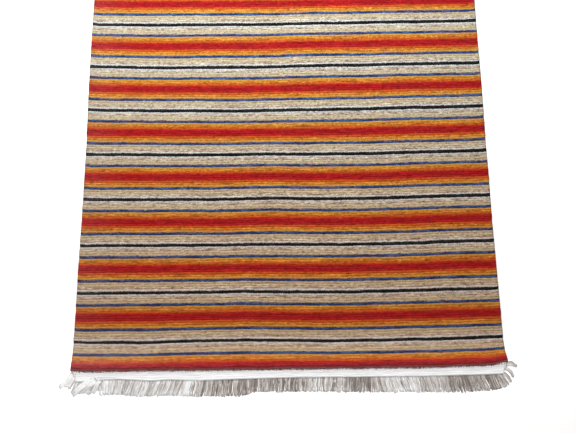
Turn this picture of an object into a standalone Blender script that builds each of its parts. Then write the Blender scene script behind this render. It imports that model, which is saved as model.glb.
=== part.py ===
"""A hand-knotted striped carpet, lying flat: pile field, white end bands and fringes.

X runs across the carpet, Y along it and Z up, in metres. The origin is the middle of the
underside, on the floor, and the end at -Y is the one that shows the loose corner tufts.
"""

import math
from collections import namedtuple

import bmesh
import bpy

# The pile field. Every row of knots is one rib across the carpet. The rounded edge starts at PILE_WALL.
PILE_WIDTH = 0.900
ROW_PITCH = 0.0052
ROWS_PER_REPEAT = 20
REPEATS = 14
END_STRIPE_ROWS = 3
PILE_HEIGHT = 0.0120
PILE_WALL = 0.0065
PILE_ROUNDING = 0.0022
ROW_GROOVE = 0.0013
PILE_COLUMNS = (-1.0, -0.90, 0.0, 0.90, 1.0)  # places across the half width

# The flat-woven band past each end of the pile.
BAND_HALF = 0.4440
BAND_HEIGHT = 0.0032
BAND_RIBS = 4
BAND_GROOVE = 0.0008

# The fringe: a strip round the band's free edges, and the locks that come out of it.
STRIP_WIDTH = 0.0025
STRIP_HEIGHT = 0.0026
STRIP_SETBACK = 0.0030
STRIP_CELLS = 36
LOCKS_PER_CELL = 4
LOCKS_PER_SIDE = 2
LOCK_SHARE = 0.69  # of the strip's length, the rest being gaps
MID_WIDTH = 0.98
TIP_WIDTH = 0.66
MID_HEIGHT = 0.0023
TIP_HEIGHT = 0.0015
CLUMP_LENGTH = 0.037
CLUMP_PULL = 0.11  # of the way to the clump's middle
CLUMP_WANDER = 0.45  # of a clump's length
CLUMP_WANDER_LENGTH = 0.23

# How a lock differs from its neighbours: the most it changes, and the turn from lock to lock.
Change = namedtuple("Change", "most turn")
LOCK_BOW = Change(most=0.0008, turn=0.55)
LEAN_CHANGE = Change(most=0.0005, turn=2.4)
REACH_CHANGE = Change(most=0.035, turn=1.9)  # as a share of the reach

GAP = 0.0003  # between neighbouring pieces

# How the cloth lies off true.
ROW_SKEW = 0.0030
ROW_DRIFT = 0.0074
ROW_BOW = 0.0023
WAIST = 0.0013
SWELL = 0.0003
SWELL_LENGTH = 0.20
SWELL_BREADTH = 0.70
CORNER_REACH = 0.022

PILE_ROWS = REPEATS * ROWS_PER_REPEAT + END_STRIPE_ROWS
PILE_LENGTH = PILE_ROWS * ROW_PITCH

# Yarn of each row, from the black row outwards to the middle of the red stripe.
YARN_BY_ROW = (
    "black",
    "white",
    "rose_beige",
    "straw_beige",
    "straw_beige",
    "blue",
    "amber",
    "orange",
    "vermilion",
    "red",
    "red",
)
YARN_COLOURS = {
    "black": (0.012, 0.010, 0.009),
    "white": (0.60, 0.53, 0.45),
    "rose_beige": (0.50, 0.36, 0.27),
    "straw_beige": (0.46, 0.34, 0.20),
    "blue": (0.030, 0.062, 0.22),
    "amber": (0.62, 0.26, 0.050),
    "orange": (0.48, 0.14, 0.022),
    "vermilion": (0.50, 0.072, 0.028),
    "red": (0.38, 0.012, 0.016),
}
COTTON = (0.80, 0.80, 0.79)
FRINGE_COTTON = (0.62, 0.59, 0.56)

# A corner of the near end: how far it is pulled out and drawn back.
Corner = namedtuple("Corner", "side out back")
CORNERS = (
    Corner(side=-1, out=0.0018, back=0.0020),
    Corner(side=1, out=0.0040, back=0.0060),
)

# The band's outer edge, from the middle of the pile's end edge.
Edge = namedtuple("Edge", "x y")
BAND_EDGE = (
    Edge(-0.444, -0.0216),
    Edge(-0.419, -0.0214),
    Edge(-0.395, -0.0180),
    Edge(-0.350, -0.0174),
    Edge(-0.290, -0.0212),
    Edge(-0.246, -0.0196),
    Edge(-0.185, -0.0218),
    Edge(-0.080, -0.0193),
    Edge(0.025, -0.0178),
    Edge(0.125, -0.0186),
    Edge(0.272, -0.0189),
    Edge(0.418, -0.0170),
    Edge(0.444, -0.0158),
)

# How the locks lie along an end: where they start, how far they lean and how far they reach.
Lie = namedtuple("Lie", "x lean reach")
NEAR_LOCKS = (
    Lie(-0.444, -0.009, 0.022),
    Lie(-0.425, -0.010, 0.018),
    Lie(-0.400, -0.012, 0.026),
    Lie(-0.394, 0.002, 0.028),
    Lie(-0.295, -0.015, 0.029),
    Lie(-0.230, -0.010, 0.029),
    Lie(-0.100, -0.002, 0.032),
    Lie(-0.086, -0.003, 0.031),
    Lie(-0.074, -0.002, 0.025),
    Lie(0.150, -0.002, 0.028),
    Lie(0.230, 0.012, 0.029),
    Lie(0.330, 0.003, 0.031),
    Lie(0.385, 0.013, 0.031),
    Lie(0.430, 0.011, 0.027),
    Lie(0.444, 0.013, 0.020),
)
FAR_LOCKS = (
    Lie(-0.444, -0.006, 0.028),
    Lie(-0.200, 0.002, 0.030),
    Lie(0.100, -0.003, 0.030),
    Lie(0.444, 0.006, 0.028),
)

# Where the locks at the band's short ends reach to, from the middle of the end's edge.
Tuft = namedtuple("Tuft", "side order x y")
NEAR_TUFTS = (
    Tuft(side=-1, order=0, x=-0.477, y=-0.034),
    Tuft(side=-1, order=1, x=-0.466, y=-0.040),
    Tuft(side=1, order=0, x=0.476, y=-0.004),
    Tuft(side=1, order=1, x=0.465, y=-0.026),
)
FAR_TUFTS = (
    Tuft(side=-1, order=0, x=-0.470, y=-0.012),
    Tuft(side=-1, order=1, x=-0.464, y=-0.030),
    Tuft(side=1, order=0, x=0.470, y=-0.012),
    Tuft(side=1, order=1, x=0.464, y=-0.030),
)


def clear_scene():
    for obj in list(bpy.data.objects):
        bpy.data.objects.remove(obj, do_unlink=True)


def fabric(name, colour, roughness):
    material = bpy.data.materials.new(name)
    material.use_nodes = True
    shader = material.node_tree.nodes["Principled BSDF"]
    shader.inputs["Base Color"].default_value = (*colour, 1.0)
    shader.inputs["Roughness"].default_value = roughness
    shader.inputs["Metallic"].default_value = 0.0
    material.diffuse_color = (*colour, 1.0)
    return material


def between(rows, x, field):
    """A named column of a table, read between the two rows that x lies between."""
    for left, right in zip(rows, rows[1:]):
        if x <= right.x:
            share = max(0.0, (x - left.x) / (right.x - left.x))
            return getattr(left, field) * (1 - share) + getattr(right, field) * share
    return getattr(rows[-1], field)


def corner_pull(x, y):
    """How far the four pulled corners move a point. A half turn about Z maps the pulls onto themselves."""
    dx = dy = 0.0
    for end in (-1, 1):
        for corner in CORNERS:
            from_x = x + end * corner.side * PILE_WIDTH / 2
            from_y = y - end * PILE_LENGTH / 2
            pull = math.exp(-(from_x**2 + from_y**2) / CORNER_REACH**2)
            dx -= end * corner.side * corner.out * pull
            dy -= end * corner.back * pull
    return dx, dy


def as_it_lies(x, y):
    """A point of the true rectangle, moved to where the slightly uneven cloth has it."""
    dx, dy = corner_pull(x, y)
    waist = WAIST * math.cos(math.pi * y / PILE_LENGTH) * x / (PILE_WIDTH / 2)
    skew = -ROW_SKEW * x * math.cos(2 * math.pi * y / PILE_LENGTH)
    drift = ROW_DRIFT * math.sin(2 * math.pi * y / PILE_LENGTH)
    bow = ROW_BOW * math.cos(math.pi * y / PILE_LENGTH) * (2 * (2 * x / PILE_WIDTH) ** 2 - 1)
    return x - waist + dx, y + skew + drift + bow + dy


def raise_sheet(sheet, height):
    """Makes a closed block of a flat sheet."""
    raised = bmesh.ops.extrude_face_region(sheet, geom=sheet.faces[:])["geom"]
    verts = [item for item in raised if isinstance(item, bmesh.types.BMVert)]
    bmesh.ops.translate(sheet, verts=verts, vec=(0, 0, height))


def unit_slab(columns, ribs_by_section, levels):
    """A slab in counted steps: x in columns, y in ribs, z in levels. The top is cut at every half rib."""
    slab = bmesh.new()
    sections = len(ribs_by_section)
    bmesh.ops.create_grid(slab, x_segments=columns, y_segments=sections, size=0.5)
    for vert in slab.verts:
        vert.co.x = round((vert.co.x + 0.5) * columns)
        vert.co.y = round((vert.co.y + 0.5) * sections)
    raise_sheet(slab, levels)
    for level in range(1, levels):
        whole = slab.verts[:] + slab.edges[:] + slab.faces[:]
        bmesh.ops.bisect_plane(slab, geom=whole, plane_co=(0, 0, level), plane_no=(0, 0, 1))
    for section, ribs in enumerate(ribs_by_section):
        edges = [edge for edge in slab.edges if runs_along(edge, section, levels)]
        bmesh.ops.subdivide_edges(slab, edges=edges, cuts=2 * ribs - 1, use_grid_fill=True)
    starts = [sum(ribs_by_section[:section]) for section in range(sections + 1)]
    for vert in slab.verts:
        section = min(int(vert.co.y + 1e-4), sections - 1)
        half_ribs = round(2 * (vert.co.y - section) * ribs_by_section[section])
        vert.co.y = starts[section] + half_ribs / 2
    return slab


def runs_along(edge, section, level):
    low, high = sorted(edge.verts, key=lambda vert: vert.co.y)
    on_top = min(low.co.z, high.co.z) > level - 0.5
    return on_top and abs(low.co.y - section) < 0.01 and abs(high.co.y - section - 1) < 0.01


def finish_mesh(name, shape, materials, location=(0, 0, 0), turn=0.0):
    bmesh.ops.recalc_face_normals(shape, faces=shape.faces)
    if shape.calc_volume(signed=True) < 0:
        bmesh.ops.reverse_faces(shape, faces=shape.faces)
    mesh = bpy.data.meshes.new(name)
    shape.to_mesh(mesh)
    shape.free()
    for material in materials:
        mesh.materials.append(material)
    mesh.shade_smooth()
    mesh.set_sharp_from_angle(angle=math.radians(62))
    obj = bpy.data.objects.new(name, mesh)
    obj.location = location
    obj.rotation_euler.z = turn
    return obj


def yarn_of(row):
    """The yarn of a row, counted from the near end, where a whole red stripe starts the pile."""
    from_red = (row - END_STRIPE_ROWS // 2) % ROWS_PER_REPEAT
    from_black = abs(from_red - ROWS_PER_REPEAT // 2)
    return YARN_BY_ROW[from_black]


def swell(x, y):
    """How much fuller the pile is at one place than at another."""
    return SWELL * math.sin(2 * math.pi * y / SWELL_LENGTH) * math.cos(2 * math.pi * x / SWELL_BREADTH)


def pile_point(column, rib, level):
    """One point of the pile field, from its column, rib and level."""
    across = PILE_COLUMNS[round(column)]
    x = across * PILE_WIDTH / 2
    y = rib * ROW_PITCH - PILE_LENGTH / 2
    if level < 2:
        return (*as_it_lies(x, y), PILE_WALL * level)
    height = PILE_HEIGHT + swell(x, y)
    if rib == round(rib):
        height -= ROW_GROOVE
    if abs(across) == 1:
        x -= across * PILE_ROUNDING
        height -= PILE_ROUNDING / 3
    if rib in (0, PILE_ROWS):
        y += ROW_PITCH / 4 if rib == 0 else -ROW_PITCH / 4
        height -= PILE_ROUNDING / 2
    return (*as_it_lies(x, y), height)


def build_pile():
    sections = [END_STRIPE_ROWS] + [ROWS_PER_REPEAT] * REPEATS
    slab = unit_slab(len(PILE_COLUMNS) - 1, sections, levels=2)
    yarns = list(YARN_COLOURS)
    for face in slab.faces:
        row = min(int(face.calc_center_median().y), PILE_ROWS - 1)
        face.material_index = yarns.index(yarn_of(row))
    for vert in slab.verts:
        vert.co = pile_point(*vert.co)
    wools = [fabric(f"wool_{name}", YARN_COLOURS[name], 0.92) for name in yarns]
    return finish_mesh("pile_field", slab, wools)


def end_edge(x):
    """How far the pile's end edge lies from its true line at x, seen from the middle of that edge."""
    for left, right in zip(PILE_COLUMNS, PILE_COLUMNS[1:]):
        start = as_it_lies(left * PILE_WIDTH / 2, -PILE_LENGTH / 2)
        stop = as_it_lies(right * PILE_WIDTH / 2, -PILE_LENGTH / 2)
        if x <= stop[0] or right == PILE_COLUMNS[-1]:
            share = (x - start[0]) / (stop[0] - start[0])
            return start[1] + (stop[1] - start[1]) * share + PILE_LENGTH / 2


def station_x(station):
    """Where a station of the strip lies along the band's outer edge."""
    return BAND_HALF * (2 * (station - 1) / STRIP_CELLS - 1)


def band_edge(x):
    """The band's outer edge at x, straight from one station of the strip to the next."""
    step = (x / BAND_HALF + 1) * STRIP_CELLS / 2
    cell = min(int(step + 1e-6), STRIP_CELLS - 1)
    start = between(BAND_EDGE, station_x(cell + 1), "y")
    stop = between(BAND_EDGE, station_x(cell + 2), "y")
    return start + (stop - start) * (step - cell)


def band_places():
    """Where the band's columns lie: at the strip's stations, and at the kinks of the pile's edge."""
    kinks = [column * PILE_WIDTH / 2 for column in (PILE_COLUMNS[1], PILE_COLUMNS[-2])]
    stations = [station_x(station) for station in range(1, STRIP_CELLS + 2)]
    return sorted(stations + [as_it_lies(kink, -PILE_LENGTH / 2)[0] for kink in kinks])


def build_band(name, location, turn, cotton):
    places = band_places()
    slab = unit_slab(len(places) - 1, [BAND_RIBS], levels=1)
    for vert in slab.verts:
        x = places[round(vert.co.x)]
        rib = vert.co.y
        inner = end_edge(x) - GAP
        y = inner + (band_edge(x) - inner) * rib / BAND_RIBS
        height = BAND_HEIGHT * vert.co.z
        if vert.co.z > 0 and rib == round(rib):
            height -= BAND_GROOVE
        vert.co = (x, y, height)
    return finish_mesh(name, slab, [cotton], location, turn)


def strip_point(station, outer):
    """A point of the strip: stations run down one short end, along the band's edge and up the other."""
    last = STRIP_CELLS + 2
    offset = GAP + (STRIP_WIDTH if outer else 0.0)
    side = -1 if station < last / 2 else 1
    if station <= 1 or station >= last - 1:
        x = side * (BAND_HALF + offset)
        corner_y = band_edge(side * BAND_HALF) - offset
        top_y = end_edge(side * BAND_HALF) - STRIP_SETBACK
        share = min(station, last - station)
        return x, top_y + (corner_y - top_y) * share
    x = station_x(station)
    return x, band_edge(x) - offset


def outer_edge(u):
    """The strip's outer edge at u stations, straight from one station to the next."""
    station = min(int(u), STRIP_CELLS + 1)
    start = strip_point(station, True)
    stop = strip_point(station + 1, True)
    share = u - station
    return start[0] + (stop[0] - start[0]) * share, start[1] + (stop[1] - start[1]) * share


def locks_in(cell):
    return LOCKS_PER_SIDE if cell in (0, STRIP_CELLS + 1) else LOCKS_PER_CELL


def unit_comb():
    """The strip and its locks in counted steps: x in stations, y from the inner edge out, z up."""
    comb = bmesh.new()
    cells = STRIP_CELLS + 2
    bmesh.ops.create_grid(comb, x_segments=cells, y_segments=1, size=0.5)
    for vert in comb.verts:
        vert.co.x = round((vert.co.x + 0.5) * cells)
        vert.co.y = round(vert.co.y + 0.5)
    raise_sheet(comb, 1)
    for cell in range(cells):
        edges = [edge for edge in comb.edges if is_outer(edge, cell)]
        bmesh.ops.subdivide_edges(comb, edges=edges, cuts=2 * locks_in(cell), use_grid_fill=True)
        slide_cuts(comb, cell)
    roots = [face for face in comb.faces if is_root(face)]
    for _ in range(2):
        roots = bmesh.ops.extrude_discrete_faces(comb, faces=roots)["faces"]
        verts = [vert for face in roots for vert in face.verts]
        bmesh.ops.translate(comb, verts=verts, vec=(0, 1, 0))
    return comb


def is_outer(edge, cell):
    ends = sorted(vert.co.x for vert in edge.verts)
    at_edge = min(vert.co.y for vert in edge.verts) > 0.5
    return at_edge and abs(ends[0] - cell) < 0.01 and abs(ends[1] - cell - 1) < 0.01


def slide_cuts(comb, cell):
    """Moves the even cuts of a cell apart, so that locks are wider than the gaps between them."""
    count = locks_in(cell)
    for vert in comb.verts:
        step = (vert.co.x - cell) * (2 * count + 1)
        if vert.co.y > 0.5 and 0.5 < step < 2 * count + 0.5:
            lock, right = divmod(round(step) - 1, 2)
            half = LOCK_SHARE / 2 if right else -LOCK_SHARE / 2
            vert.co.x = cell + (lock + 0.5 + half) / count


def is_root(face):
    """True for the outer faces that a lock grows from."""
    if min(vert.co.y for vert in face.verts) < 0.5:
        return False
    ends = sorted(vert.co.x for vert in face.verts)
    cell = int(ends[0] + 1e-4)
    width = (ends[-1] - ends[0]) * locks_in(cell)
    middle = ((ends[0] + ends[-1]) / 2 - cell) * locks_in(cell)
    return abs(width - LOCK_SHARE) < 0.02 and abs(middle % 1 - 0.5) < 0.02


def change_of(change, cell, order):
    """How much one lock differs, from its number along the strip."""
    return change.most * math.sin(change.turn * (cell * LOCKS_PER_CELL + order))


def clump_lean(x):
    """Neighbouring locks draw together into clumps of uneven length."""
    place = x / CLUMP_LENGTH + CLUMP_WANDER * math.sin(2 * math.pi * x / CLUMP_WANDER_LENGTH)
    return CLUMP_PULL * CLUMP_LENGTH * (math.floor(place) + 0.5 - place)


def lock_tip(cell, order, root, table, tufts):
    """Where a lock's tip lies on the floor."""
    if cell in (0, STRIP_CELLS + 1):
        side = -1 if cell == 0 else 1
        order = order if cell == 0 else LOCKS_PER_SIDE - 1 - order
        tuft = next(row for row in tufts if (row.side, row.order) == (side, order))
        return tuft.x, tuft.y
    lean = between(table, root[0], "lean") + clump_lean(root[0]) + change_of(LEAN_CHANGE, cell, order)
    reach = between(table, root[0], "reach") * (1 + change_of(REACH_CHANGE, cell, order))
    return root[0] + lean, root[1] - reach


def comb_point(u, v, w, table, tufts):
    """One point of the strip or of a lock, from its counted steps."""
    if v < 1.5:
        x, y = outer_edge(u) if v > 0.5 else strip_point(round(u), False)
        return x, y, STRIP_HEIGHT * w
    cell = int(u + 1e-4)
    order = int((u - cell) * locks_in(cell))
    middle = cell + (order + 0.5) / locks_in(cell)
    root = outer_edge(middle)
    start = outer_edge(middle - LOCK_SHARE / 2 / locks_in(cell))
    stop = outer_edge(middle + LOCK_SHARE / 2 / locks_in(cell))
    tip = lock_tip(cell, order, root, table, tufts)
    run = (tip[0] - root[0], tip[1] - root[1])
    length = math.hypot(*run)
    across = (-run[1] / length, run[0] / length)
    width = abs((stop[0] - start[0]) * across[0] + (stop[1] - start[1]) * across[1])
    along = 0.5 if v < 2.5 else 1.0
    bow = change_of(LOCK_BOW, cell, order) if v < 2.5 else 0.0
    half = width / 2 * (MID_WIDTH if v < 2.5 else TIP_WIDTH)
    offset = bow + (half if u > middle else -half)
    x = root[0] + run[0] * along + across[0] * offset
    y = root[1] + run[1] * along + across[1] * offset
    return x, y, (MID_HEIGHT if v < 2.5 else TIP_HEIGHT) * w


def build_fringe(name, location, turn, cotton, table, tufts):
    comb = unit_comb()
    places = [comb_point(*vert.co, table, tufts) for vert in comb.verts]
    for vert, place in zip(comb.verts, places):
        vert.co = place
    return finish_mesh(name, comb, [cotton], location, turn)


def build_carpet():
    clear_scene()
    carpet = bpy.data.collections.new("nepalese_carpet")
    bpy.context.scene.collection.children.link(carpet)
    middle = bpy.data.objects.new("carpet_middle", None)
    carpet.objects.link(middle)
    white = fabric("white_cotton", COTTON, 0.90)
    loose = fabric("loose_cotton", FRINGE_COTTON, 0.95)
    near = ((0, -PILE_LENGTH / 2, 0), 0.0)
    far = ((0, PILE_LENGTH / 2, 0), math.pi)
    pieces = [
        build_pile(),
        build_band("kilim_band_near", *near, white),
        build_band("kilim_band_far", *far, white),
        build_fringe("fringe_near", *near, loose, NEAR_LOCKS, NEAR_TUFTS),
        build_fringe("fringe_far", *far, loose, FAR_LOCKS, FAR_TUFTS),
    ]
    for piece in pieces:
        carpet.objects.link(piece)
        piece.parent = middle


build_carpet()
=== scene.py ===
import math
import random

import bmesh
import bpy
from mathutils import Matrix, Vector, noise


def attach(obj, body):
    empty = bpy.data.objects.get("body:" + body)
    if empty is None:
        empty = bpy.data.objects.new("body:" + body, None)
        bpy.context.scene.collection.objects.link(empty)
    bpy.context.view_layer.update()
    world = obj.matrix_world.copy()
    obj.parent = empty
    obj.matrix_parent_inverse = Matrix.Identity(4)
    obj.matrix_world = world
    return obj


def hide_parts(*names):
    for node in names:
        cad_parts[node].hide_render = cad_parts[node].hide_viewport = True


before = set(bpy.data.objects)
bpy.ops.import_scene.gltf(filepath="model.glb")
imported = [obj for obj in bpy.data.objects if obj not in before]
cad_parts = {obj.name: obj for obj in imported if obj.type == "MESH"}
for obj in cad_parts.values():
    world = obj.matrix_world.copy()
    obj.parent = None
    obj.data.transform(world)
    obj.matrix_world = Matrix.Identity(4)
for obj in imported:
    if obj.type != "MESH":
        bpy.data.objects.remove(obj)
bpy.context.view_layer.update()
draws = random.Random(17)
print("frame loaded")


# How the carpet lies, in metres, with the photographed end at -Y.
carpet = {
    "width": 0.900,
    "rowPitch": 0.0052,
    "rowsPerRepeat": 20,
    "repeats": 14,
    "endStripeRows": 3,
    "rowSkew": 0.0030,  # how far the rows slope at the ends
    "rowDrift": 0.0074,  # the rows are about 3% wider apart halfway up
    "rowBow": 0.0023,
    "waist": 0.0013,
    "cornerReach": 0.022,
    "corners": [  # side, pulled out, drawn back, and the far end's are these turned by half
        (-1, 0.0018, 0.0020),
        (1, 0.0040, 0.0060),
    ],
    "gap": 0.0003,
}
rowCount = carpet["repeats"] * carpet["rowsPerRepeat"] + carpet["endStripeRows"]
carpetLength = rowCount * carpet["rowPitch"]
halfWidth = carpet["width"] / 2
halfLength = carpetLength / 2


def asItLies(x, y):
    # a point of the true rectangle, moved to where the uneven cloth has it
    dx = dy = 0.0
    for end in (-1, 1):
        for side, out, back in carpet["corners"]:
            fromX = x + end * side * halfWidth
            fromY = y - end * halfLength
            pull = math.exp(-(fromX**2 + fromY**2) / carpet["cornerReach"] ** 2)
            dx -= end * side * out * pull
            dy -= end * back * pull
    turn = 2 * math.pi * y / carpetLength
    waist = carpet["waist"] * math.cos(turn / 2) * x / halfWidth
    skew = -carpet["rowSkew"] * x * math.cos(turn)
    drift = carpet["rowDrift"] * math.sin(turn)
    bow = carpet["rowBow"] * math.cos(turn / 2) * (2 * (x / halfWidth) ** 2 - 1)
    return x - waist + dx, y + skew + drift + bow + dy


def readTable(rows, x, column):
    # a column of a table, read between the two rows that x lies between
    for left, right in zip(rows, rows[1:]):
        if x <= right[0]:
            share = max(0.0, (x - left[0]) / (right[0] - left[0]))
            return left[column] * (1 - share) + right[column] * share
    return rows[-1][column]


def softNoise(*place):
    return noise.noise(Vector(place))  # about -0.5 to 0.5


def waveNoise(waves, x, y):
    # soft noise by its waves to a unit of x and of y, and a third number that sets it apart
    xWaves, yWaves, apart = waves
    return softNoise(x * xWaves, y * yWaves, apart)


def finishPiece(name, shape, material, placement=Matrix.Identity(4)):
    bmesh.ops.transform(shape, matrix=placement, verts=shape.verts)
    bmesh.ops.recalc_face_normals(shape, faces=shape.faces)
    if shape.calc_volume(signed=True) < 0:
        bmesh.ops.reverse_faces(shape, faces=shape.faces)
    mesh = bpy.data.meshes.new(name)
    shape.to_mesh(mesh)
    shape.free()
    mesh.materials.append(material)
    mesh.shade_smooth()
    piece = bpy.data.objects.new(name, mesh)
    bpy.context.scene.collection.objects.link(piece)
    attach(piece, "root")
    return piece


def addWall(shape, spots):
    # a wall round a sheet's rim, whose low vertices take the spots of those above them
    rim = [edge for edge in shape.edges if edge.is_boundary]
    skirt = bmesh.ops.extrude_edge_only(shape, edges=rim)["geom"]
    low = [item for item in skirt if isinstance(item, bmesh.types.BMVert)]
    above = {}
    for vert in low:
        beside = [edge.other_vert(vert) for edge in vert.link_edges]
        above[vert] = next(other for other in beside if other in spots)
    spots.update({vert: spots[other] for vert, other in above.items()})
    return low


def closeUnderside(shape):
    ring = [edge for edge in shape.edges if edge.is_boundary]
    bmesh.ops.contextual_create(shape, geom=ring)


def atEnd(end):
    # from the middle of a pile end's edge, where bands and fringes are worked out, to its place
    turned = Matrix.Rotation(0.0 if end == "near" else math.pi, 4, "Z")
    side = -1 if end == "near" else 1
    return Matrix.Translation((0, side * halfLength, 0)) @ turned


# Materials. A Wire is a socket that can stand in a sum; a Finish is a material being made.
class Wire:
    def __init__(self, finish, socket):
        self.finish = finish
        self.socket = socket

    def other(self, name):
        return Wire(self.finish, self.socket.node.outputs[name])

    def maths(self, operation, *values):
        return self.finish.node("ShaderNodeMath", {"operation": operation}, dict(enumerate(values)))

    def __add__(self, value):
        return self.maths("ADD", self, value)

    def __sub__(self, value):
        return self.maths("SUBTRACT", self, value)

    def __rsub__(self, value):
        return self.maths("SUBTRACT", value, self)

    def __mul__(self, value):
        return self.maths("MULTIPLY", self, value)

    def __truediv__(self, value):
        return self.maths("DIVIDE", self, value)

    def __mod__(self, value):
        return self.maths("FLOORED_MODULO", self, value)

    def __pow__(self, value):
        return self.maths("POWER", self, value)

    def __abs__(self):
        return self.maths("ABSOLUTE", self)

    __radd__ = __add__
    __rmul__ = __mul__


class Finish:
    def __init__(self, name, roughness, sheen=0.0):
        self.material = bpy.data.materials.new(name)
        self.material.use_nodes = True
        self.tree = self.material.node_tree
        self.shader = self.tree.nodes["Principled BSDF"]
        self.shader.inputs["Roughness"].default_value = roughness
        self.shader.inputs["Sheen Weight"].default_value = sheen
        self.shader.inputs["Sheen Roughness"].default_value = 0.6
        self.shader.inputs["Specular IOR Level"].default_value = 0.08

    def node(self, kind, settings, values, output=0):
        made = self.tree.nodes.new(kind)
        for key, value in settings.items():
            if key == "stops":
                self.setStops(made.color_ramp, value)
            else:
                setattr(made, key, value)
        for key, value in values.items():
            if isinstance(value, Wire):
                self.tree.links.new(value.socket, made.inputs[key])
            else:
                made.inputs[key].default_value = value
        return Wire(self, made.outputs[output])

    def setStops(self, ramp, stops):
        while len(ramp.elements) < len(stops):
            ramp.elements.new(0.5)
        for element, (place, colour) in zip(ramp.elements, stops):
            element.position = place
            element.color = (*colour, 1.0)

    def ramp(self, value, stops):
        return self.node("ShaderNodeValToRGB", {"stops": stops}, {"Fac": value})

    def blur(self, x, y, detail=2.0, z=0.0):
        # soft noise at a place given in its own wavelengths
        place = self.node("ShaderNodeCombineXYZ", {}, {"X": x, "Y": y, "Z": z})
        settings = {"noise_dimensions": "3D"}
        values = {"Vector": place, "Scale": 1.0, "Detail": detail, "Roughness": 0.55}
        return self.node("ShaderNodeTexNoise", settings, values)

    def cells(self, x, y, jitter):
        place = self.node("ShaderNodeCombineXYZ", {}, {"X": x, "Y": y})
        values = {"Vector": place, "Scale": 1.0, "Randomness": jitter}
        return self.node("ShaderNodeTexVoronoi", {"voronoi_dimensions": "2D"}, values)

    def mix(self, factor, first, second, blendType="MIX"):
        settings = {"data_type": "RGBA", "blend_type": blendType, "clamp_factor": True}
        return self.node("ShaderNodeMix", settings, {0: factor, 6: first, 7: second}, output=2)

    def span(self, value, low, high, toLow=0.0, toHigh=1.0):
        # one number turned into another, softly, between two limits
        values = {
            "Value": value,
            "From Min": low,
            "From Max": high,
            "To Min": toLow,
            "To Max": toHigh,
        }
        return self.node("ShaderNodeMapRange", {"interpolation_type": "SMOOTHSTEP"}, values)

    def tint(self, colour, value, warmth=0.0):
        # a colour made lighter or darker by a number, its darks warmer or not
        red = value ** (1 - warmth)
        grey = self.node("ShaderNodeCombineXYZ", {}, {"X": red, "Y": value, "Z": value})
        return self.node("ShaderNodeVectorMath", {"operation": "MULTIPLY"}, {0: colour, 1: grey})

    def drive(self, colour, height, distance):
        values = {"Height": height, "Distance": distance, "Strength": 1.0}
        bump = self.node("ShaderNodeBump", {}, values)
        self.tree.links.new(colour.socket, self.shader.inputs["Base Color"])
        self.tree.links.new(bump.socket, self.shader.inputs["Normal"])


# The pile field: every row of knots is a rib, and each yarn colour fills whole rows.
pile = {
    "height": 0.0120,
    "wall": 0.0050,
    "groove": 0.0012,
    "grooveVary": 0.0008,
    "grooveWaves": [(60, 0.9, 4.0), (15, 0.5, 7.0)],  # to a metre, to a row, and a third number
    "shoulders": (0.28, 0.72),  # of a row
    "endPlaces": (0.0, 0.06, 0.2, 0.45, 0.75),  # of the first row, turned round for the last
    "edgeRound": 0.0048,
    "edgeCurve": 2.2,
    "edgeColumns": (0.0, 0.0006, 0.0018, 0.0034, 0.0056, 0.0090, 0.0140, 0.0210),
    "columnStep": 0.0095,
    "swell": 0.0004,
    "swellWaves": (9, 9, 1.5),  # to a metre both ways
    "waves": [  # middle x and y, reach, how far the rows are pushed up the length
        (0.20, 0.03, 0.20, 0.0023),
        (-0.32, -0.05, 0.15, -0.0021),
        (0.12, -0.26, 0.13, -0.0020),
        (0.00, -0.37, 0.13, 0.0024),
        (-0.32, -0.52, 0.22, 0.0028),
        (0.38, -0.44, 0.12, 0.0028),
        (0.13, -0.69, 0.12, -0.0030),
        (0.30, -0.68, 0.08, -0.0024),
        (-0.10, -0.15, 0.12, -0.0020),
        (-0.10, -0.57, 0.12, 0.0022),
        (-0.30, -0.70, 0.08, -0.0020),
    ],
    "wander": 0.0005,
    "wanderWaves": [(9, 6, 0.0), (26, 11, 3.0)],
    "fineWander": 0.6,  # how strong the second of these is beside the first
    "rowWander": 0.0003,
    "rowWaves": (40, 0.8, 9.0),
    "sideWander": 0.0005,
    "sideWaves": 70,
    "sideReach": 0.02,
    "calmReach": 0.045,  # the waves die away over this distance from an end
    "sides": [  # along the length, how far the left and the right edge stand out
        (-0.736, 0.0030, 0.0036),
        (-0.710, 0.0025, 0.0030),
        (-0.686, 0.0016, 0.0014),
        (-0.590, 0.0011, 0.0008),
        (-0.520, 0.0016, 0.0004),
        (-0.410, 0.0004, -0.0003),
        (-0.300, 0.0002, 0.0009),
        (-0.235, 0.0001, 0.0001),
        (-0.200, 0.0010, 0.0011),
        (-0.100, 0.0025, 0.0022),
        (0.030, 0.0029, 0.0019),
        (0.100, 0.0021, 0.0023),
        (0.300, 0.0006, 0.0012),
        (0.500, 0.0010, 0.0003),
        (0.650, 0.0014, 0.0011),
        (0.736, 0.0032, 0.0026),
    ],
    "endWaves": [  # along the near end, how far its edge strays up the length
        (-0.450, -0.0002),
        (-0.385, 0.0002),
        (-0.289, 0.0006),
        (-0.185, -0.0004),
        (0.023, -0.0007),
        (0.272, -0.0019),
        (0.397, 0.0004),
        (0.450, 0.0000),
    ],
    "endRagged": 0.0005,
    "raggedWaves": [(55, 2.0), (130, 6.0)],  # to a metre, and a second number
    "endFlick": 0.45,  # rows that a stripe rises by at its very ends
    "flickReach": 0.0075,
}


def pileColumns():
    inner = halfWidth - pile["edgeColumns"][-1]
    count = math.ceil(inner / pile["columnStep"])
    left = [-halfWidth + inset for inset in pile["edgeColumns"]]
    middle = [inner * step / count for step in range(1 - count, count)]
    return left + middle + [-x for x in reversed(left)]


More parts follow.
